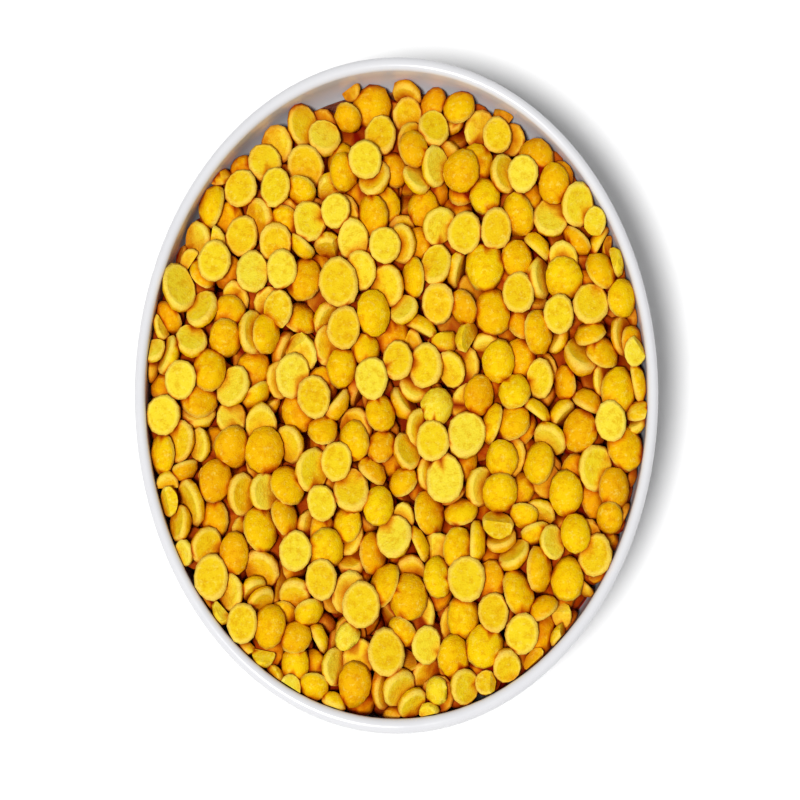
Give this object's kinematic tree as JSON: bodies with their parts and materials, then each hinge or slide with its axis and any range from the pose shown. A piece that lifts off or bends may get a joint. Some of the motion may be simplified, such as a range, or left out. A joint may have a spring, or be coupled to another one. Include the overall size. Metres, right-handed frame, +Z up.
{
  "type": "dish of toor dal",
  "caption": "Small oval white dish with a foot ring, filled to its rim with a loose heap of split yellow pigeon peas.",
  "frame": {"origin": "on the table, under the middle of the dish", "axes": "+Z up out of the dish, +Y along its longer axis, away from the viewer of the picture"},
  "size_m": [0.082, 0.1076, 0.0298],
  "materials": {
    "dish_glaze": "smooth white glaze",
    "dal": "dry, skinned split peas, golden to pale yellow"
  },
  "bodies": {
    "root": {"dish": "dish_glaze", "dal_heap": "dal"}
  },
  "joints": []
}
